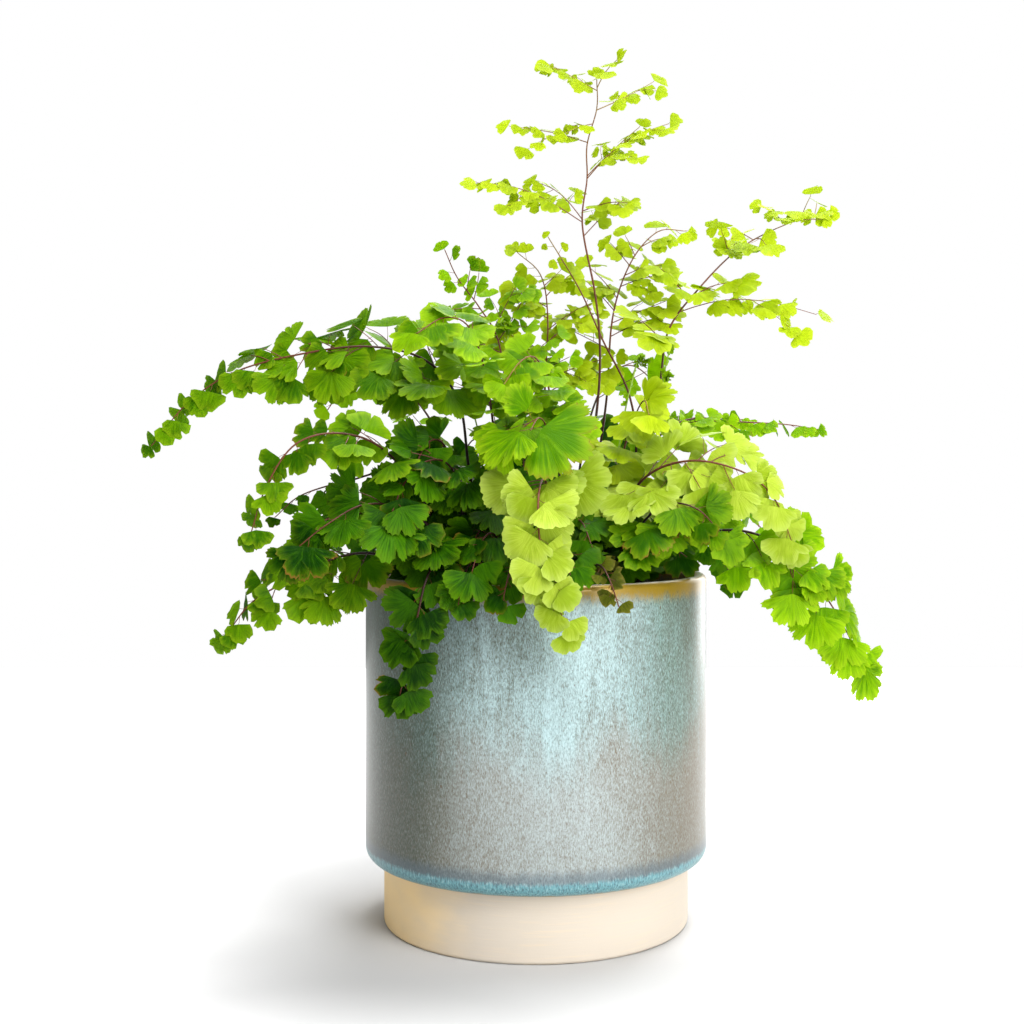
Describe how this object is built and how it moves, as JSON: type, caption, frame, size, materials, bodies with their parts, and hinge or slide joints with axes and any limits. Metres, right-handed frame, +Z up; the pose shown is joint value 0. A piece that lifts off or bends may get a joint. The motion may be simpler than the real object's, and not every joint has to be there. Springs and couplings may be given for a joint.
{
  "type": "potted fern",
  "caption": "Maidenhair fern in a cylindrical glazed pot with a bare clay foot: wiry stems rise from the soil and carry fan-shaped leaflets over the rim.",
  "frame": {"origin": "centre of the pot's flat base", "axes": "+Z up along the pot's axis; -Y towards the side that the plant shows best; +X to that side's right"},
  "size_m": [0.293, 0.2136, 0.3542],
  "materials": {
    "glazed_stoneware": "glossy reactive glaze, aqua above and grey-brown below, over a bare cream clay foot",
    "potting_soil": "loose dark peat",
    "leaf_deep": "thin deep green leaflets on near-black wiry stems",
    "leaf_fresh": "thin bright green leaflets on red-brown wiry stems",
    "leaf_young": "thin yellow-green leaflets on red-brown wiry stems"
  },
  "bodies": {
    "root": {"pot": "glazed_stoneware", "soil": "potting_soil", "left_arch": "leaf_fresh", "left_bow": "leaf_fresh", "left_sprig": "leaf_deep", "left_fan": "leaf_deep", "left_low": "leaf_fresh", "front_left_trail": "leaf_deep", "front_trail": "leaf_young", "front_fan": "leaf_fresh", "right_bow": "leaf_young", "right_low": "leaf_fresh", "right_spray": "leaf_fresh", "right_tall": "leaf_young", "curled_young": "leaf_young", "tallest": "leaf_young", "upper_left": "leaf_fresh", "upper_middle": "leaf_young", "upper_right": "leaf_young", "crown_left": "leaf_fresh", "crown_front": "leaf_young", "crown_right": "leaf_young", "inner_left": "leaf_deep", "inner_front": "leaf_deep", "inner_right": "leaf_deep", "left_side": "leaf_deep", "right_side": "leaf_fresh", "back_left": "leaf_fresh", "back_left_low": "leaf_deep", "back_high": "leaf_young", "back_low": "leaf_deep", "back_right": "leaf_fresh", "back_right_low": "leaf_deep"}
  },
  "joints": []
}
